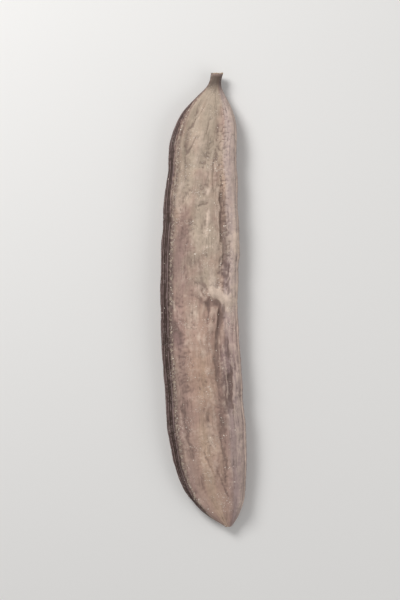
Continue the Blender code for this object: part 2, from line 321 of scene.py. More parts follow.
def fresh_start():
    """Leaves object mode with nothing selected, because an operator acts on all that is selected."""
    if bpy.context.mode != "OBJECT":
        bpy.ops.object.mode_set(mode="OBJECT")
    bpy.ops.object.select_all(action="DESELECT")


def pick(*pieces):
    """Selects these pieces alone and makes the first one active."""
    fresh_start()
    for piece in pieces:
        piece.select_set(True)
    bpy.context.view_layer.objects.active = pieces[0]


def apply_modifier(piece, kind, **settings):
    """Adds a modifier, gives it its settings and applies it."""
    pick(piece)
    modifier = piece.modifiers.new(kind.title(), kind)
    for name, value in settings.items():
        setattr(modifier, name, value)
    bpy.ops.object.modifier_apply(modifier=modifier.name)


def points_of(piece):
    """The places of the piece's points, one in each row."""
    points = np.empty(len(piece.data.vertices) * 3)
    piece.data.vertices.foreach_get("co", points)
    return points.reshape(-1, 3)


def move_points(piece, points):
    """Puts the piece's points in these places."""
    piece.data.vertices.foreach_set("co", points.ravel())
    piece.data.update()


def normals_of(piece):
    """The direction that the surface faces at each point."""
    normals = np.empty(len(piece.data.vertices) * 3, np.float32)
    piece.data.vertices.foreach_get("normal", normals)
    return normals.reshape(-1, 3).astype(float)


def store(piece, name, values):
    """Keeps one number, or three, for each point of the piece, for its material to read."""
    single = values.ndim == 1
    attribute = piece.data.attributes.new(name, "FLOAT" if single else "FLOAT_VECTOR", "POINT")
    attribute.data.foreach_set("value" if single else "vector", values.astype(np.float32).ravel())


def ramp(values, low, high):
    """0 below low, 1 above high, smooth between."""
    t = np.clip((values - low) / (high - low), 0, 1)
    return t * t * (3 - 2 * t)


def hump(values, centre, spread):
    """1 at the centre, falling smoothly towards 0 past the spread to each side."""
    return np.exp(-(((values - centre) / spread) ** 2))


def rolling(values, reach):
    """Mean of the values within reach places to each side."""
    padded = np.pad(values, reach, mode="edge")
    return np.convolve(padded, np.ones(2 * reach + 1) / (2 * reach + 1), mode="valid")


def irregular(places, size, offset, octaves=3):
    """Irregular waves between about -1 and 1.

    Size is one number, or one for each direction. The offset picks another stretch of the same noise, so each
    use of it has its own.
    """
    scaled = places / np.array(size) + offset
    return np.array([noise.fractal(Vector(place), 0.9, 2.0, octaves) for place in scaled.tolist()])


def growth(points):
    """How the pod grew, at each point: share of the length from the stalk, place across, place up and girth.

    Across is -1 at the left seam and 1 at the right one. Up is 1 on top of the section and -1 below it. The
    girth is the section's half width as a share of the full one.
    """
    slices, spare = 240, 40
    y = np.linspace(HIGH.y, LOW.y, slices)
    sorted_points = points[np.argsort(-points[:, 1])]
    edges = np.searchsorted(-sorted_points[:, 1], -y)
    middle, half_width, level, tilt, half_height = (np.empty(slices) for _ in range(5))
    parts = []
    for i in range(slices):
        # A slice reaches into both its neighbours, and holds enough points at the thin ends too
        first = max(0, edges[max(0, i - 1)] - spare)
        last = max(edges[min(slices - 1, i + 1)], first + 2 * spare)
        part = sorted_points[first : last + 1]
        parts.append(part)
        low, high = part[:, 0].min(), part[:, 0].max()
        middle[i], half_width[i] = (low + high) / 2, (high - low) / 2
        tilt[i], level[i] = np.polyfit(part[:, 0] - middle[i], part[:, 2], 1)
        tilt[i] *= min(1.0, half_width[i] / HALF_WIDTH)

    # The mean of neighbouring slices evens out what a single one measures. The tilt is the least sure
    middle, level = rolling(middle, 3), rolling(level, 4)
    half_width, tilt = rolling(half_width, 1), rolling(tilt, 10)
    for i, part in enumerate(parts):
        half_height[i] = np.abs(part[:, 2] - level[i] - tilt[i] * (part[:, 0] - middle[i])).max()
    half_height = rolling(half_height, 4)

    place = (HIGH.y - points[:, 1]) / POD_LENGTH * (slices - 1)
    middle, half_width, level, tilt, half_height = (
        np.interp(place, np.arange(slices), row) for row in (middle, half_width, level, tilt, half_height)
    )
    aside = points[:, 0] - middle
    up = (points[:, 2] - level - tilt * aside) / half_height
    girth = np.clip(half_width / HALF_WIDTH, 0, 1)
    return np.column_stack((place / (slices - 1), aside / half_width, up, girth))


def flow_of(grown):
    """The places that grown gives, in metres: across, along from the stalk, and up."""
    return grown[:, [1, 0, 2]] * (HALF_WIDTH, POD_LENGTH, HALF_THICKNESS)


def strokes(flow, rows):
    """Sum of strokes with soft sides that wander a little, in the unit of their fifth column.

    The rows have the columns of CREASES. A stroke fades out over the last part of its half length.
    """
    wander_x = 0.9 * irregular(flow, STROKE_WAVES, 33.0, 2)
    wander_y = 0.8 * irregular(flow, STROKE_WAVES, 37.0, 2)
    total = np.zeros(len(flow))
    for at, aside, degrees, half_length, strength, spread in rows:
        turn = math.radians(degrees)
        x = (flow[:, 0] - aside * HALF_WIDTH) / MM + wander_x
        y = (at * POD_LENGTH - flow[:, 1]) / MM + wander_y
        along = np.abs(x * math.cos(turn) + y * math.sin(turn))
        off = y * math.cos(turn) - x * math.sin(turn)
        beyond = np.maximum(0, along - half_length * 0.6) * spread / (half_length * 0.4)
        total += strength * hump(np.hypot(beyond, off), 0, spread)
    return total


def smoothed(piece, points, rounds):
    """The points after each has moved halfway to the mean of its neighbours, that many times."""
    edges = np.empty(len(piece.data.edges) * 2, np.int64)
    piece.data.edges.foreach_get("vertices", edges)
    a, b = edges.reshape(-1, 2).T
    count = len(points)
    neighbours = np.bincount(np.concatenate((a, b)), minlength=count)
    for _ in range(rounds):
        sums = [np.bincount(a, points[b, k], count) + np.bincount(b, points[a, k], count) for k in range(3)]
        points = (points + np.column_stack(sums) / neighbours[:, None]) / 2
    return points


def standing_out(piece, rounds, full):
    """How far each point stands out of its surroundings: 1 at full, and -1 as deep below them."""
    points = points_of(piece)
    off = ((points - smoothed(piece, points, rounds)) * normals_of(piece)).sum(axis=1)
    return np.clip(off / full, -1, 1)


def add_node(tree, kind, inputs=(), **settings):
    """Adds a node, sets it, and gives its inputs values or links."""
    node = tree.nodes.new(kind)
    for name, value in settings.items():
        setattr(node, name, value)
    for key, value in dict(inputs).items():
        if isinstance(value, bpy.types.NodeSocket):
            tree.links.new(value, node.inputs[key])
        else:
            node.inputs[key].default_value = value
    return node


def reckon(tree, operation, first, second=0.5):
    """One step of arithmetic on values that vary over the surface."""
    return add_node(tree, "ShaderNodeMath", {0: first, 1: second}, operation=operation).outputs[0]


def times(tree, *values):
    product = values[0]
    for value in values[1:]:
        product = reckon(tree, "MULTIPLY", product, value)
    return product


def plus(tree, *values):
    total = values[0]
    for value in values[1:]:
        total = reckon(tree, "ADD", total, value)
    return total


def remap(tree, value, low, high, to_low=0.0, to_high=1.0):
    """to_low where the value is low, to_high where it is high, and smooth between."""
    inputs = {"Value": value, "From Min": low, "From Max": high, "To Min": to_low, "To Max": to_high}
    return add_node(tree, "ShaderNodeMapRange", inputs, interpolation_type="SMOOTHSTEP").outputs[0]


def mix(tree, amount, below, above, blend="MIX"):
    """Mixes two colours. The amount is a number, or a mask that varies over the surface."""
    # Inputs 6 and 7 and output 2 are the ones for colours
    inputs = {0: amount, 6: below, 7: above}
    return add_node(tree, "ShaderNodeMix", inputs, data_type="RGBA", blend_type=blend).outputs[2]


def stretch(tree, vector, scale, offset=(0.0, 0.0, 0.0)):
    """The vector with each direction scaled, and then moved by the offset."""
    inputs = {"Vector": vector, "Scale": scale, "Location": offset}
    return add_node(tree, "ShaderNodeMapping", inputs).outputs[0]


def cloud(tree, vector, scale, detail=4.0, roughness=0.5, distortion=0.0):
    """Noise around 0.5. The scale counts its waves in each unit of the vector."""
    inputs = {
        "Vector": vector,
        "Scale": scale,
        "Detail": detail,
        "Roughness": roughness,
        "Distortion": distortion,
    }
    return add_node(tree, "ShaderNodeTexNoise", inputs).outputs[0]


def fine_lines(tree, vector, width):
    """1 along fine meandering lines, and 0 between them."""
    waves = cloud(tree, vector, 1.0, 1.0, 0.5, 0.1)
    off = reckon(tree, "ABSOLUTE", reckon(tree, "SUBTRACT", waves, 0.5))
    return remap(tree, off, width, 0.0)


def attribute(tree, name):
    """The node that reads what store keeps under this name."""
    return add_node(tree, "ShaderNodeAttribute", attribute_name=name)


def amount_of(tree, name):
    """A mask that store_looks keeps on the skin."""
    return attribute(tree, name).outputs["Fac"]


def make_dry_grain():
    """Dry plant skin close up: fine fibres along the growth, thin creases, specks, and a mottled tone."""
    group = bpy.data.node_groups.new(GRAIN_GROUP, "ShaderNodeTree")
    for name in ("Fibre place", "Place"):
        group.interface.new_socket(name, in_out="INPUT", socket_type="NodeSocketVector")
    for name in ("Fibres", "Creases", "Specks", "Mottle"):
        group.interface.new_socket(name, in_out="OUTPUT", socket_type="NodeSocketFloat")
    start = group.nodes.new("NodeGroupInput").outputs
    place, fibre_place = start["Place"], start["Fibre place"]
    lines = fine_lines(group, stretch(group, fibre_place, (0.24, 0.70, 0.24)), 0.035)
    here = remap(group, cloud(group, place, 200.0, 3.0), 0.40, 0.66)
    found = {
        "Fibres": cloud(group, fibre_place, 1.0, 4.0, 0.62),
        "Creases": times(group, lines, here),
        "Specks": remap(group, cloud(group, place, 2100.0, 2.0, 0.5), 0.60, 0.66),
        "Mottle": cloud(group, place, 420.0, 5.0, 0.66, 0.3),
    }
    add_node(group, "NodeGroupOutput", found)
    return group


def dry_grain(tree, place, fibre_place):
    """Places the dry grain in a material."""
    group = bpy.data.node_groups.get(GRAIN_GROUP) or make_dry_grain()
    inputs = {"Fibre place": fibre_place, "Place": place}
    return add_node(tree, "ShaderNodeGroup", inputs, node_tree=group).outputs


def new_material(name, roughness=0.5):
    """A dull material, its node tree and its shader."""
    material = bpy.data.materials.new(name)
    material.use_nodes = True
    shader = material.node_tree.nodes["Principled BSDF"]
    shader.inputs["Roughness"].default_value = roughness
    shader.inputs["Specular IOR Level"].default_value = MATT
    return material, material.node_tree, shader


def bump(tree, shader, height, strength, distance):
    """Raises fine relief in the shading alone."""
    inputs = {"Height": height, "Strength": strength, "Distance": distance}
    tree.links.new(add_node(tree, "ShaderNodeBump", inputs).outputs[0], shader.inputs["Normal"])


def skin_layers(tree, colours, close, flow, place, streaks):
    """The layers of the skin's colour, each a mask and what shows there. Each covers those before it."""
    patches = cloud(tree, stretch(tree, flow, (1.0, 0.45, 1.0)), 150.0, 5.0, 0.55, 0.4)
    bands = cloud(tree, stretch(tree, flow, (1.0, 0.10, 1.0)), 190.0, 3.0)
    dust = cloud(tree, stretch(tree, flow, (1.0, 0.6, 1.0), (0.3, 0.1, 0.0)), 95.0, 5.0, 0.58, 0.6)
    uneven = plus(tree, 0.15, times(tree, close["Mottle"], 1.2), times(tree, streaks, 0.5))
    ash, bloom = (plus(tree, dust, times(tree, amount_of(tree, name), 0.40)) for name in ("ash", "bloom"))
    hollow_shade, marks_and_painted_light = (times(tree, amount_of(tree, name), uneven) for name in ("hollow_shade", "marks_and_painted_light"))
    ridge, fringe = amount_of(tree, "ridge"), amount_of(tree, "fringe")
    flank_lines = mix(tree, remap(tree, ridge, 0.0, 0.9, 0.0, 0.62), colours.seam, colours.purple_and_shade)
    beads = remap(tree, cloud(tree, place, 1000.0, 2.0), 0.52, 0.60)
    return (
        (remap(tree, patches, 0.36, 0.66), colours.tan),
        (remap(tree, bands, 0.35, 0.70, 0.0, 0.55), colours.rose),
        (times(tree, amount_of(tree, "warm"), 0.4), colours.warm),
        (remap(tree, ash, 0.60, 0.84, 0.0, 0.9), colours.ash),
        # Purple skin, with purple painted shade in its patches
        (times(tree, amount_of(tree, "purple_and_shade"), 0.85), colours.purple_and_shade),
        (times(tree, amount_of(tree, "rosy"), 0.5), colours.pink),
        (remap(tree, bloom, 0.56, 0.90, 0.0, 0.9), colours.bloom),
        # Painted shade in the broad hollows
        (remap(tree, hollow_shade, -0.1, -0.9, 0.0, 0.40), colours.furrow),
        # Painted highlight where the marks are pale, and painted shade where they are dark
        (remap(tree, marks_and_painted_light, 0.0, 1.0, 0.0, 0.85), colours.wear_and_highlight),
        (remap(tree, marks_and_painted_light, 0.0, -1.0, 0.0, 0.55), colours.furrow),
        # Fine ridges paler, partly wear and partly painted highlight; fine creases darker, painted shade
        (remap(tree, ridge, 0.12, 0.9, 0.0, 0.36), colours.wear_and_highlight),
        (remap(tree, ridge, -0.12, -0.9, 0.0, 0.50), colours.furrow),
        # The left flank: its own dark colour with painted shade, paler on its raised lines
        (amount_of(tree, "flank"), flank_lines),
        (times(tree, fringe, 0.80), colours.furrow),
        (times(tree, beads, fringe, 0.75), colours.bloom),
    )


def bright_flecks(tree, close, place):
    """Where bright flecks show: in patches and in the fringe, and fewer on the flank and on purple skin."""
    gathered = remap(tree, cloud(tree, place, 170.0, 3.0), 0.48, 0.68)
    in_fringe = times(tree, amount_of(tree, "fringe"), 0.7)
    likely = reckon(tree, "MAXIMUM", times(tree, gathered, 0.85), in_fringe)
    likely = times(tree, likely, remap(tree, amount_of(tree, "flank"), 0.0, 1.0, 1.0, 0.35))
    likely = times(tree, likely, remap(tree, amount_of(tree, "purple_and_shade"), 0.1, 0.6, 1.0, 0.35))
    return times(tree, close["Specks"], likely)


def skin_colour(tree, colours, close, flow, place, streaks, flecks):
    """Mauve brown skin, greyed by a dusty bloom, painted shade in its furrows, ridges paled by wear and
    painted highlight.
    """
    colour = colours.mauve
    for mask, layer in skin_layers(tree, colours, close, flow, place, streaks):
        colour = mix(tree, mask, colour, layer)
    shade = times(
        tree,
        remap(tree, streaks, 0.3, 0.7, 0.94, 1.06),
        remap(tree, close["Fibres"], 0.3, 0.7, 0.95, 1.04),
        remap(tree, close["Mottle"], 0.3, 0.7, 0.90, 1.09),
        # Painted shade in the fine creases
        remap(tree, close["Creases"], 0.0, 1.0, 1.0, 0.82),
    )
    grey = add_node(tree, "ShaderNodeCombineColor", {0: shade, 1: shade, 2: shade}).outputs[0]
    colour = mix(tree, 1.0, colour, grey, "MULTIPLY")
    colour = mix(tree, flecks, colour, colours.fleck)
    broken = mix(tree, remap(tree, close["Mottle"], 0.35, 0.65), colours.seam, colours.straw)
    return mix(tree, amount_of(tree, "scar"), colour, broken)


def skin_material(colours):
    """Dried carob skin."""
    material, tree, shader = new_material("Carob skin")
    place = add_node(tree, "ShaderNodeTexCoord").outputs["Object"]
    flow = attribute(tree, "flow").outputs["Vector"]
    close = dry_grain(tree, place, stretch(tree, flow, SKIN_FIBRES))
    streaks = cloud(tree, stretch(tree, flow, (1.0, 0.10, 1.0)), 560.0, 5.0, 0.6)
    flecks = bright_flecks(tree, close, place)
    colour = skin_colour(tree, colours, close, flow, place, streaks, flecks)
    tree.links.new(colour, shader.inputs["Base Color"])
    tree.links.new(remap(tree, close["Mottle"], 0.3, 0.7, 0.54, 0.74), shader.inputs["Roughness"])
    relief = plus(
        tree,
        times(tree, close["Fibres"], 0.5),
        times(tree, close["Mottle"], 1.4),
        times(tree, close["Creases"], -0.5),
        times(tree, streaks, 1.0),
        times(tree, flecks, 0.5),
    )
    bump(tree, shader, relief, 1.0, 0.20 * MM)
    return material


def crumb_material(colours):
    """Crumbs and fibres of dry pulp: straw, each a little different. Both pieces share one material."""
    made = bpy.data.materials.get(CRUMB_MATERIAL)
    if made:
        return made
    material, tree, shader = new_material(CRUMB_MATERIAL, 0.8)
    place = add_node(tree, "ShaderNodeTexCoord").outputs["Object"]
    close = dry_grain(tree, place, stretch(tree, place, PULP_FIBRES))
    tone = remap(tree, cloud(tree, place, 300.0, 1.0), 0.38, 0.60)
    colour = mix(tree, tone, colours.bloom, colours.fleck)
    # Painted shade in the fine creases of the pulp
    colour = mix(tree, times(tree, close["Creases"], 0.5), colour, colours.furrow)
    tree.links.new(colour, shader.inputs["Base Color"])
    bump(tree, shader, close["Fibres"], 0.5, 0.05 * MM)
    return material


def copy_of_solid():
    """A copy of the pod's solid with its triangles merged into one mesh of quads."""
    pick(SOLID)
    bpy.ops.object.duplicate()
    skin = bpy.context.active_object
    skin.name = POD
    skin.data.name = POD
    # The copy is a piece of the scene, not the solid itself
    del skin["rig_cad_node"]
    pick(skin)
    bpy.ops.object.mode_set(mode="EDIT")
    bpy.ops.mesh.select_all(action="SELECT")
    bpy.ops.mesh.customdata_custom_splitnormals_clear()
    bpy.ops.mesh.remove_doubles(threshold=0.002 * MM)
    bpy.ops.mesh.tris_convert_to_quads(face_threshold=math.pi, shape_threshold=math.pi)
    bpy.ops.object.mode_set(mode="OBJECT")
    return skin


def left_fringe(across):
    """Where the beaded fringe lies, between the dark left flank and the broad side."""
    return hump(across, FRINGE_PLACE, FRINGE_SPREAD)


def lengthwise_lines(grown, flow):
    """Height of the fine lines pressed along the seams and the rims. Each wanders, swells and fades."""
    _, across, up, _ = grown.T
    along = flow * (0, 1, 0)
    angle = np.degrees(np.arctan2(up, across)) % 360
    height = np.zeros(len(across))
    for number, (place, rise, spread) in enumerate(SEAM_LINES):
        turned = (angle - place - 1.6 * irregular(along, 22 * MM, 5.0 * number + 40, 2) + 180) % 360 - 180
        strength = 0.75 + 0.5 * irregular(along, 9 * MM, 5.0 * number + 60, 2)
        height += rise * MM * strength * hump(turned, 0, spread)
    on_top = ramp(up, 0.0, 0.25)
    for number, (place, rise, spread) in enumerate(RIM_LINES):
        wander = place + 0.014 * irregular(along, 16 * MM, 7.0 * number + 140, 2)
        strength = 0.75 + 0.6 * irregular(along, 7 * MM, 7.0 * number + 260, 2)
        height += rise * MM * strength * hump(across, wander, spread) * on_top
    return height


def short_puckers(share, across, flow):
    """Depth of the short puckers: in patches, and most inside the right rim of the half near the stalk."""
    folds = 1 - ramp(np.abs(irregular(flow, PUCKER_WAVES, 17.0, 2)), 0.0, 0.30)
    gathered = ramp(irregular(flow, 9 * MM, 19.0, 2), -0.3, 0.3)
    gathered += 1.5 * ramp(across, 0.42, 0.55) * ramp(-across, -0.90, -0.70) * ramp(-share, -0.52, -0.44)
    return folds * gathered


def press_relief(skin, sizes):
    """Presses the relief of the dried skin into the mesh."""
    points = points_of(skin)
    grown = growth(points)
    share, across, up, girth = grown.T
    flow = flow_of(grown)
    on_top, below = ramp(up, 0.1, 0.4), ramp(-up, 0.1, 0.4)
    rim = ramp(np.abs(across), 0.52, 0.72)

    height = sizes.wrinkle * (0.18 + 0.38 * rim) * irregular(flow, WRINKLE_WAVES, 3.0)
    height += sizes.dent * irregular(flow, DENT_WAVES, 11.0, 2)
    height -= sizes.pucker * short_puckers(share, across, flow)
    height += sizes.grain * irregular(points, 0.9 * MM, 29.0, 2)
    for number, wide in enumerate(CREASE_WIDTHS):
        lines = np.abs(irregular(flow, (wide, 8 * wide, wide), 50.0 + 9 * number, 2))
        here = ramp(irregular(flow, CREASE_PATCHES, 71.0 + 9 * number, 2), -0.25, 0.35)
        height -= sizes.crease * here * (0.26 + 0.45 * rim) * (1 - ramp(lines, 0.0, 0.15))
    beads = 0.5 + irregular(flow * (0, 1, 0), 0.8 * MM, 81.0, 1)
    height += sizes.bead * beads * left_fringe(across) * on_top
    height += lengthwise_lines(grown, flow)
    height += MM * strokes(flow, CREASES) * on_top

    # The underside has the same creases turned end for end, so they lie in other places
    turned_round = flow * (-1, -1, 1) + (0, POD_LENGTH, 0)
    height += MM * strokes(turned_round, CREASES) * below
    points += normals_of(skin) * (height * girth)[:, None]
    move_points(skin, points)


def tear_stalk(skin):
    """Roughens and hollows the end of the stalk, where it broke from the tree.

    Returns 1 for each point of the torn end and 0 for the rest, with a smooth step between.
    """
    points = points_of(skin)
    end = ramp(points[:, 1], HIGH.y - BREAK_DEPTH, HIGH.y - BREAK_EDGE)
    middle = points[points[:, 1] > HIGH.y - BREAK_EDGE].mean(axis=0)
    from_middle = np.hypot(points[:, 0] - middle[0], points[:, 2] - middle[2])
    rough = irregular(points, 0.5 * MM, 91.0, 3)
    hollow = BREAK_HOLLOW * hump(from_middle, 0, BREAK_HOLLOW_SPREAD)
    points[:, 1] += end * (BREAK_ROUGHNESS * rough - hollow)
    move_points(skin, points)
    return end


def dark_flank_and_shade(share, across, up, flow):
    """Dark left flank, part its own colour and part painted shade, and dark stalk. Its edge is ragged, bowing
    in at mid length.
    """
    ragged = -across + 0.050 * irregular(flow, EDGE_WAVES, 23.0, 2)
    ragged += 0.065 * hump(share, 0.51, 0.12) - 0.05 * ramp(-share, -0.33, -0.26)
    flank = 0.95 * ramp(ragged, FLANK_STARTS, FLANK_FULL) * (0.25 + 0.75 * ramp(up, -0.7, -0.2))
    stalk = 0.75 * ramp(-share, -0.05, -0.02)
    return np.maximum(flank, stalk)


def dusty_skin(share, across):
    """The dusty bloom on the broad side's half near the stalk."""
    face = hump(across, 0.10, 0.50) * ramp(-share, -0.56, -0.40)
    near_stalk = hump(across, -0.40, 0.35) * ramp(-share, -0.34, -0.27)
    return np.maximum(face, near_stalk)


def warm_skin(share, across):
    """The ruddy tone of the broad side's half near the beak."""
    return hump(across, -0.08, 0.43) * ramp(share, 0.46, 0.60) * (1 - 0.6 * ramp(share, 0.64, 0.78))


def rosy_skin(share, across):
    """The pink patch inside the left rim, and the pink belt that is strongest on the right rim."""
    patch = hump(across, -0.62, 0.28) * hump(share, 0.535, 0.075)
    belt = hump(share, 0.570, 0.055) * (0.35 + 0.65 * hump(across, 0.98, 0.25))
    return np.clip(patch + belt, 0, 1)


def purple_skin_and_shade(share, across, flow, on_top):
    """The purple right rim of the half near the beak, a tinge inside the left rim, and the patches of purple
    painted shade.
    """
    right_rim = 0.68 * ramp(across, 0.40, 0.60) * ramp(share, 0.52, 0.66)
    tinge = 0.35 * hump(across, -0.60, 0.25) * ramp(share, 0.25, 0.4)
    return np.clip(right_rim + tinge + strokes(flow, PURPLE_AND_SHADE_PATCHES) * on_top, 0, 1)


def painted_light_and_marks(across, flow, on_top):
    """The pale and dark marks, broken up, and the pale outer edge of the right rim: mostly painted highlight
    and shade.
    """
    broken_up = 1.0 + 0.9 * irregular(flow, MARK_WAVES, 31.0)
    # Painted highlight along the right rim, strongest at its outer edge
    edge = 0.8 * hump(across, 0.962, 0.016) + 0.4 * hump(across, 0.87, 0.07)
    return np.clip((strokes(flow, MARKS_AND_PAINTED_LIGHT) * broken_up + edge) * on_top, -1, 1)


def store_looks(skin, scar):
    """Keeps what the skin's material reads: how it grew, where it is marked, and where wear, highlight and
    shade are painted.
    """
    grown = growth(points_of(skin))
    share, across, up, _ = grown.T
    flow = flow_of(grown)
    on_top = ramp(up, 0.0, 0.3)
    looks = {
        "flow": flow,
        "ridge": standing_out(skin, *FINE_RIDGES),
        # How deep each point lies in a broad hollow, where the material paints shade
        "hollow_shade": standing_out(skin, *BROAD_HOLLOWS),
        "marks_and_painted_light": painted_light_and_marks(across, flow, on_top),
        "bloom": dusty_skin(share, across),
        "ash": ramp(across, 0.50, 0.72),
        "warm": warm_skin(share, across),
        "rosy": rosy_skin(share, across),
        "fringe": left_fringe(across) * on_top,
        "purple_and_shade": purple_skin_and_shade(share, across, flow, on_top),
        "flank": dark_flank_and_shade(share, across, up, flow),
        "scar": scar,
    }
    for name, values in looks.items():
        store(skin, name, values)


def crumb_chances(points):
    """How likely a crumb is at each point: most in the fringe, the right furrow and the clusters."""
    grown = growth(points)
    share, across, up, _ = grown.T
    likely = 0.10 + 0.7 * left_fringe(across) + 0.4 * hump(across, 0.52, 0.12)
    likely *= ramp(irregular(points, 5 * MM, 5.0, 2), -0.15, 0.5) + 0.15
    likely += strokes(flow_of(grown), CRUMB_CLUSTERS)
    likely *= ramp(points[:, 2], LOW.z + 1 * MM, LOW.z + 3 * MM) * (0.3 + 0.7 * ramp(up, -0.2, 0.4))
    likely *= (0.02 + 0.98 * ramp(share, 0.03, 0.12)) * (0.2 + 0.8 * ramp(-share, -0.98, -0.92))
    return likely / likely.sum()


def one_crumb():
    """A rough crumb about one unit long, to be copied."""
    fresh_start()
    bpy.ops.mesh.primitive_ico_sphere_add(subdivisions=1, radius=0.5, location=(0, 0, 0))
    crumb = bpy.context.active_object
    bpy.ops.object.mode_set(mode="EDIT")
    bpy.ops.mesh.select_all(action="SELECT")
    bpy.ops.transform.vertex_random(offset=0.34, seed=3)
    bpy.ops.transform.resize(value=(1.0, 0.8, 0.6))
    bpy.ops.object.mode_set(mode="OBJECT")
    return crumb


def one_fibre():
    """A tapered fibre one unit long, to be copied. It stands on its thick end."""
    fresh_start()
    bpy.ops.mesh.primitive_cone_add(vertices=5, radius1=0.5, radius2=0.12, depth=1.0, location=(0, 0, 0.5))
    fibre = bpy.context.active_object
    bpy.ops.object.transform_apply(location=True, rotation=True, scale=True)
    return fibre


def scatter(pattern, places, name):
    """Copies the pattern to each place, each copy with its own mesh, and joins the copies into one piece."""
    copies = []
    for matrix in places:
        copy = pattern.copy()
        copy.data = pattern.data.copy()
        copy.data.transform(matrix)
        bpy.context.scene.collection.objects.link(copy)
        copies.append(copy)
    bpy.data.objects.remove(pattern)
    pick(*copies)
    bpy.ops.object.join()
    piece = bpy.context.active_object
    piece.name = name
    piece.data.name = name
    return piece


def turned_to(direction, spin):
    """Turns +Z to the direction, after a spin round it."""
    return (Vector(direction).to_track_quat("Z", "Y").to_matrix() @ Matrix.Rotation(spin, 3, "Z")).to_4x4()


def length_of(name, description, millimetres):
    """A length that a user can change, with its default in millimetres."""
    return FloatProperty(
        name=name, description=description, default=millimetres * MM, min=0.0, precision=5, unit="LENGTH"
    )


def colour_of(name, description, colour):
    """A colour that a user can change."""
    return FloatVectorProperty(
        name=name, description=description, default=(*colour, 1.0), size=4, min=0.0, max=1.0, subtype="COLOR"
    )


def power_of(name, description, watts):
    """A light's power that a user can change."""
    return FloatProperty(name=name, description=description, default=watts, min=0.0, unit="POWER")


class CarobSizes(bpy.types.PropertyGroup):
    """Sizes of the pod's relief, crumbs and fibres."""

    wrinkle: length_of("Wrinkles", "Height of the long wrinkles", 0.34)
    dent: length_of("Dents", "Height of the slow dents", 0.24)
    pucker: length_of("Puckers", "Depth of the short puckers across the pod", 0.12)
    grain: length_of("Grain", "Height of the skin's grain", 0.06)
    crease: length_of("Creases", "Depth of the fine creases", 0.16)
    bead: length_of("Beads", "Height of the beaded line inside the left rim", 0.24)
    crumb: length_of("Crumb size", "Length of the largest crumbs", 0.9)
    crumbs: IntProperty(name="Crumbs", description="Number of crumbs on the skin", default=230, min=1)
    fibres: IntProperty(name="Fibres", description="Number of torn fibres on the stalk", default=34, min=1)


class CarobColours(bpy.types.PropertyGroup):
    """Colours of the pod."""

    mauve: colour_of("Mauve brown", "Skin", (0.370, 0.250, 0.205))
    tan: colour_of("Tan", "Paler patches of the skin", (0.470, 0.338, 0.255))
    rose: colour_of("Rose", "Pinkish bands of the skin", (0.425, 0.275, 0.238))
    pink: colour_of("Pink", "Pinkish patches of the skin", (0.430, 0.262, 0.240))
    warm: colour_of("Warm", "Ruddy skin of the half near the beak", (0.540, 0.350, 0.235))
    # Purple skin, also the colour of the painted shade in the purple patches
    purple_and_shade: colour_of("Aged", "Darker, more purple skin", (0.271, 0.188, 0.184))
    ash: colour_of("Ash", "Mauve grey skin of the right rim", (0.461, 0.359, 0.328))
    bloom: colour_of("Bloom", "Dusty bloom", (0.470, 0.378, 0.293))
    # Dark colour of furrows and creases, used mostly as painted shade
    furrow: colour_of("Furrow", "Furrows and creases", (0.165, 0.110, 0.093))
    # Dark left flank, part its own colour and part painted shade; also the dark of the torn stalk end
    seam: colour_of("Seam", "Dark left flank", (0.048, 0.029, 0.024))
    # Pale colour of ridges and pale marks: partly wear, partly painted highlight
    wear_and_highlight: colour_of("Worn", "Worn ridges", (0.660, 0.520, 0.425))
    fleck: colour_of("Fleck", "Bright flecks", (0.860, 0.770, 0.670))
    straw: colour_of("Straw", "Torn end of the stalk", (0.560, 0.410, 0.240))


class CarobStage(bpy.types.PropertyGroup):
    """Table, light and camera."""

    table: colour_of("Table", "Pale table", (0.780, 0.770, 0.755))
    key: power_of("Key light", "Main soft light, from the left", 3.5)
    fill: power_of("Fill light", "Weaker light from the right", 0.9)
    sky: FloatProperty(name="Sky", description="Strength of the even light all round", default=0.36, min=0.0)
    lens: FloatProperty(name="Lens", description="Focal length of the camera in millimetres", default=90.0)
    seen: length_of("Seen height", "Height of the table that the camera sees", 235)


class CAROB_OT_pod(bpy.types.Operator):
    """Grow the wrinkled skin of the pod over its solid"""

    bl_idname = "carob.pod"
    bl_label = "Pod skin"

    def execute(self, context):
        skin = copy_of_solid()
        apply_modifier(skin, "SUBSURF", levels=2, render_levels=2)
        press_relief(skin, context.scene.carob_sizes)
        scar = tear_stalk(skin)

        # The pod lies on the table and doesn't sink into it
        points = points_of(skin)
        points[:, 2] = np.maximum(points[:, 2], LOW.z)
        move_points(skin, points)
        store_looks(skin, scar)
        skin.data.materials.clear()
        skin.data.materials.append(skin_material(context.scene.carob_colours))
        pick(skin)
        bpy.ops.object.shade_smooth()
        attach(skin, "root")
        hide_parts("pod")
        return {"FINISHED"}


class CAROB_OT_crumbs(bpy.types.Operator):
    """Scatter crumbs of dry pulp over the skin"""

    bl_idname = "carob.crumbs"
    bl_label = "Crumbs"

    def execute(self, context):
        sizes = context.scene.carob_sizes
        skin = bpy.data.objects[POD]
        points, normals = points_of(skin), normals_of(skin)
        draw = np.random.default_rng(CRUMB_SEED)
        chosen = draw.choice(len(points), sizes.crumbs, replace=False, p=crumb_chances(points))
        places = []
        for number in chosen:
            size = sizes.crumb * (0.4 + 0.6 * draw.uniform() ** 2)
            spot = Vector(points[number]) + Vector(normals[number]) * size * 0.08
            turn = turned_to(normals[number], draw.uniform(0, 2 * math.pi))
            shape = Matrix.Diagonal((1.0, draw.uniform(0.5, 0.9), draw.uniform(0.3, 0.6), 1.0))
            places.append(Matrix.Translation(spot) @ turn @ Matrix.Scale(size, 4) @ shape)
        piece = scatter(one_crumb(), places, "crumbs")
        piece.data.materials.append(crumb_material(context.scene.carob_colours))
        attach(piece, "root")
        return {"FINISHED"}


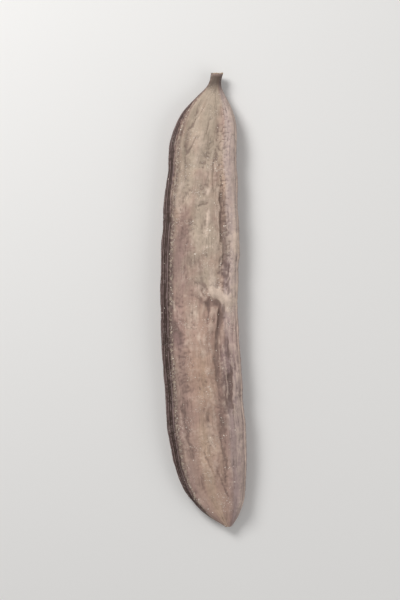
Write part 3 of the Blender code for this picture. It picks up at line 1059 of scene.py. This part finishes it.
class CAROB_OT_fibres(bpy.types.Operator):
    """Set torn fibres round the broken end of the stalk"""

    bl_idname = "carob.fibres"
    bl_label = "Stalk fibres"

    def execute(self, context):
        points = points_of(bpy.data.objects[POD])
        near = points[points[:, 1] > HIGH.y - FIBRE_STRETCH]
        middle = near.mean(axis=0)
        draw = random.Random(FIBRE_SEED)
        places = []
        for _ in range(context.scene.carob_sizes.fibres):
            out = (near[draw.randrange(len(near))] - middle) * draw.uniform(0.55, 0.97)
            lean = Vector((out[0] * draw.uniform(*FIBRE_LEAN), 1.0, out[2] * draw.uniform(*FIBRE_LEAN)))
            length, thick = draw.uniform(*FIBRE_LENGTH) * MM, draw.uniform(*FIBRE_THICKNESS) * MM
            size = Matrix.Diagonal((thick, thick, length, 1.0))
            foot = Vector((middle[0] + out[0], HIGH.y - BREAK_DEPTH, middle[2] + out[2]))
            turn = turned_to(lean, draw.uniform(0, 2 * math.pi))
            places.append(Matrix.Translation(foot) @ turn @ size)
        piece = scatter(one_fibre(), places, "stalk_fibres")
        piece.data.materials.append(crumb_material(context.scene.carob_colours))
        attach(piece, "root")
        return {"FINISHED"}


def soft_light(name, power, place, width):
    """A square light that looks at the pod's middle. Its place counts from there."""
    bpy.ops.object.light_add(type="AREA", location=MIDDLE + Vector(place))
    light = bpy.context.active_object
    light.name = name
    light.data.energy = power
    light.data.size = width
    light.rotation_euler = (-Vector(place)).to_track_quat("-Z", "Y").to_euler()


def even_light(strength):
    """A white sky that lights the pod from all round."""
    world = bpy.data.worlds.new("Even light")
    world.use_nodes = True
    background = world.node_tree.nodes["Background"]
    background.inputs["Color"].default_value = (1.0, 1.0, 1.0, 1.0)
    background.inputs["Strength"].default_value = strength
    return world


def camera_above(lens, seen):
    """A camera straight above the pod, so high that it sees this much of the table's height."""
    bpy.ops.object.camera_add(rotation=(0, 0, 0))
    camera = bpy.context.active_object
    camera.data.lens = lens
    distance = seen * lens / camera.data.sensor_width
    camera.location = (MIDDLE.x + CAMERA_ASIDE, MIDDLE.y, HIGH.z + distance)
    return camera


class CAROB_OT_stage(bpy.types.Operator):
    """Set the table, the soft lights and the camera"""

    bl_idname = "carob.stage"
    bl_label = "Table, light and camera"

    def execute(self, context):
        stage = context.scene.carob_stage
        fresh_start()
        bpy.ops.mesh.primitive_plane_add(size=TABLE_WIDTH, location=(0, 0, LOW.z - TABLE_GAP))
        table = bpy.context.active_object
        table.name = "table"
        material, _, shader = new_material("Pale table", 0.55)
        shader.inputs["Base Color"].default_value = stage.table
        table.data.materials.append(material)
        soft_light("key", stage.key, KEY_PLACE, KEY_WIDTH)
        soft_light("fill", stage.fill, FILL_PLACE, FILL_WIDTH)
        context.scene.world = even_light(stage.sky)
        context.scene.camera = camera_above(stage.lens, stage.seen)
        context.scene.view_settings.view_transform = "Standard"
        return {"FINISHED"}


class CAROB_PT_sidebar(bpy.types.Panel):
    """Lists the pieces of the dressed pod"""

    bl_idname = "CAROB_PT_sidebar"
    bl_label = "Carob Pod"
    bl_space_type = "VIEW_3D"
    bl_region_type = "UI"
    bl_category = "Carob Pod"

    def draw(self, context):
        for operator in OPERATORS:
            self.layout.operator(operator.bl_idname)


OPERATORS = (CAROB_OT_pod, CAROB_OT_crumbs, CAROB_OT_fibres, CAROB_OT_stage)
GROUPS = {"carob_sizes": CarobSizes, "carob_colours": CarobColours, "carob_stage": CarobStage}
CLASSES = (*GROUPS.values(), *OPERATORS, CAROB_PT_sidebar)


def register():
    for cls in CLASSES:
        bpy.utils.register_class(cls)
    for name, group in GROUPS.items():
        setattr(bpy.types.Scene, name, PointerProperty(type=group))


def unregister():
    for name in GROUPS:
        delattr(bpy.types.Scene, name)
    for cls in reversed(CLASSES):
        bpy.utils.unregister_class(cls)


def main():
    """Makes the pieces and the stage."""
    register()
    bpy.ops.carob.pod()
    bpy.ops.carob.crumbs()
    bpy.ops.carob.fibres()
    bpy.ops.carob.stage()


if __name__ == "__main__":
    main()
